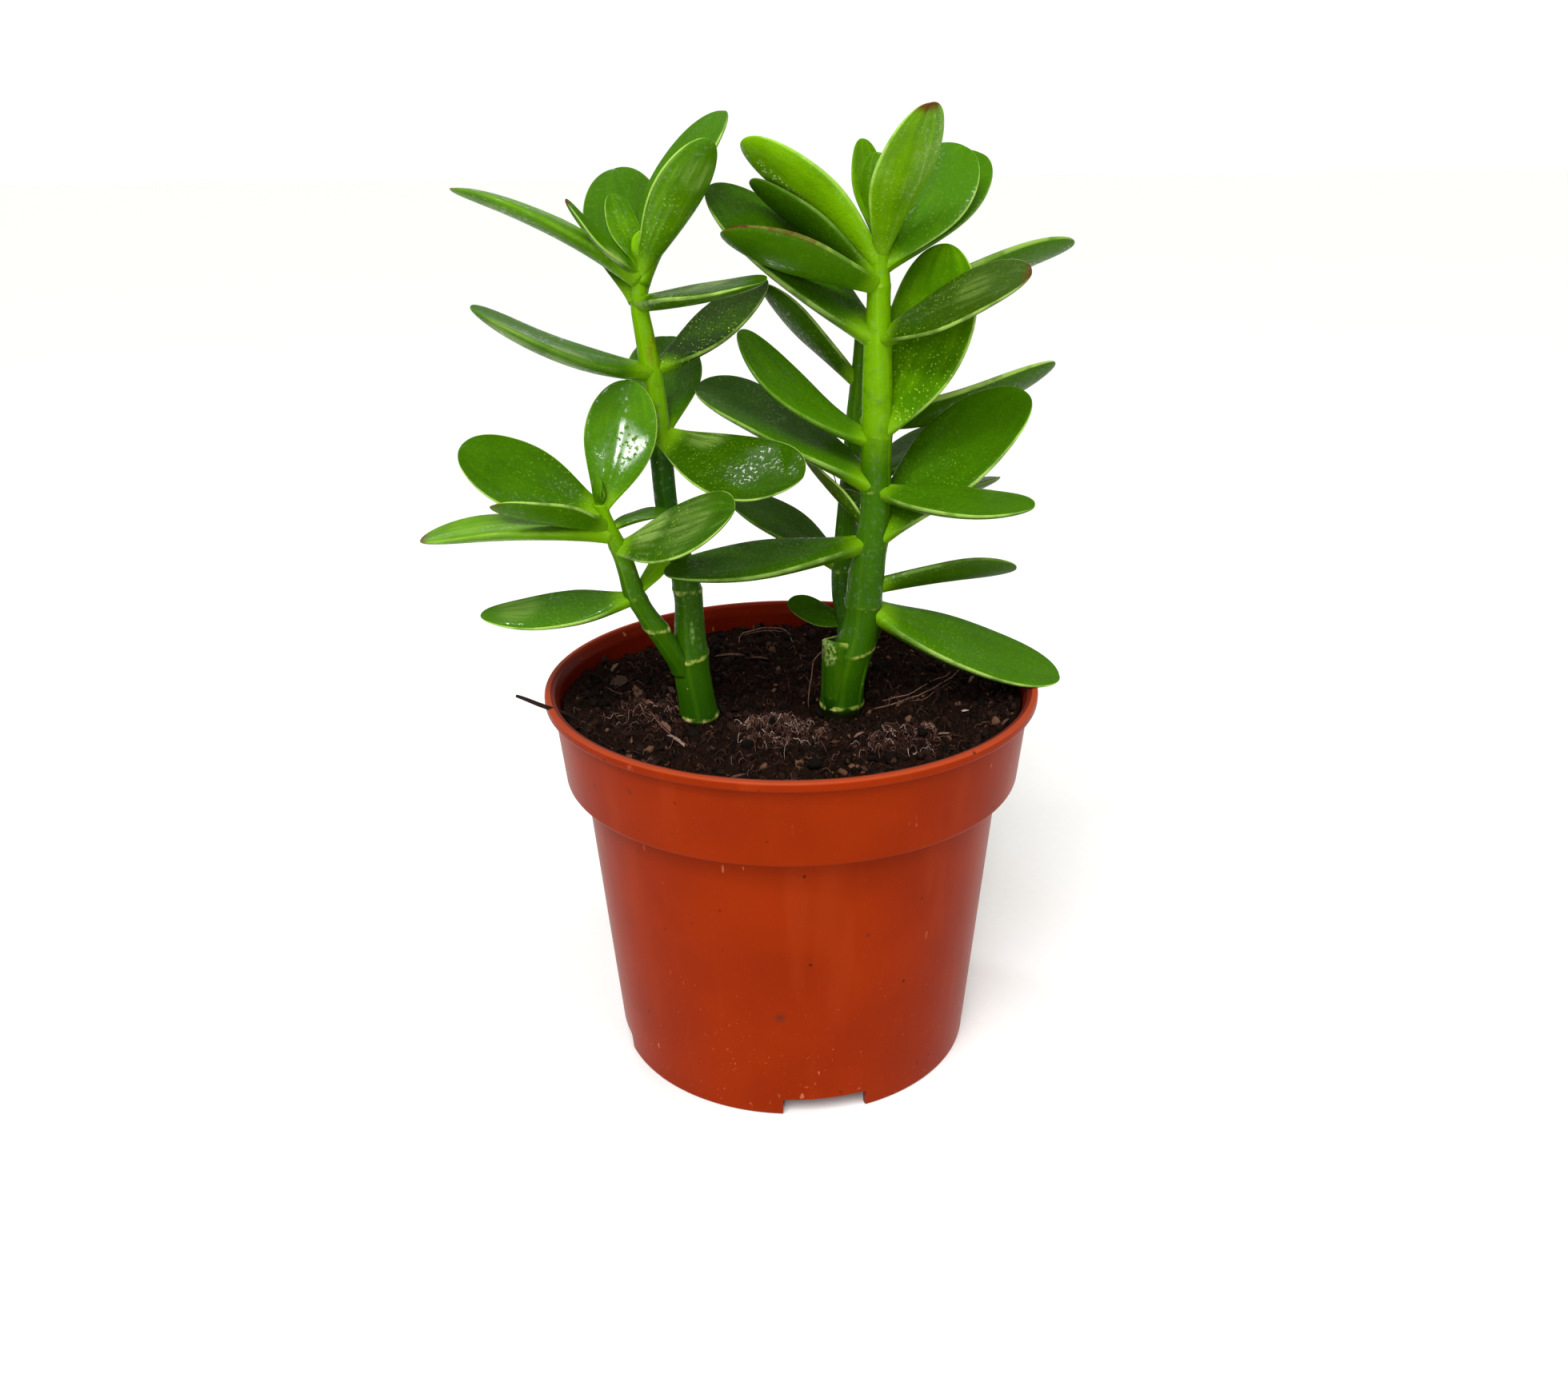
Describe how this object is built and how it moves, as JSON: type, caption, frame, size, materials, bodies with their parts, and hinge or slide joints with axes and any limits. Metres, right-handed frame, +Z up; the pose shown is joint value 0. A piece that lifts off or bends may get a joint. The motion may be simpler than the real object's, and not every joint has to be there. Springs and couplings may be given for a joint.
{
  "type": "potted jade plant",
  "caption": "Branching jade succulents with thick oval leaves, growing in potting mix in a tapered round plastic nursery pot with a wide collar and rolled rim.",
  "frame": {"origin": "middle of the foot of the whole object's bounding box, on the surface that the pot stands on; the pot's axis is 7.4 mm from it along +X", "axes": "+Z up along the pot's axis, -Y to the front as pictured, +X to the front's right"},
  "size_m": [0.1476, 0.12, 0.2275],
  "materials": {
    "pot_plastic": "satin moulded",
    "potting_mix": "rough and crumbly",
    "left_plant_green": "waxy, half glossy",
    "right_plant_green": "waxy, half glossy"
  },
  "bodies": {
    "root": {"pot": "pot_plastic", "soil": "potting_mix", "left_plant_tall_stem": "left_plant_green", "left_plant_low_stem": "left_plant_green", "right_plant_main_stem": "right_plant_green", "right_plant_rear_stem": "right_plant_green"}
  },
  "joints": []
}
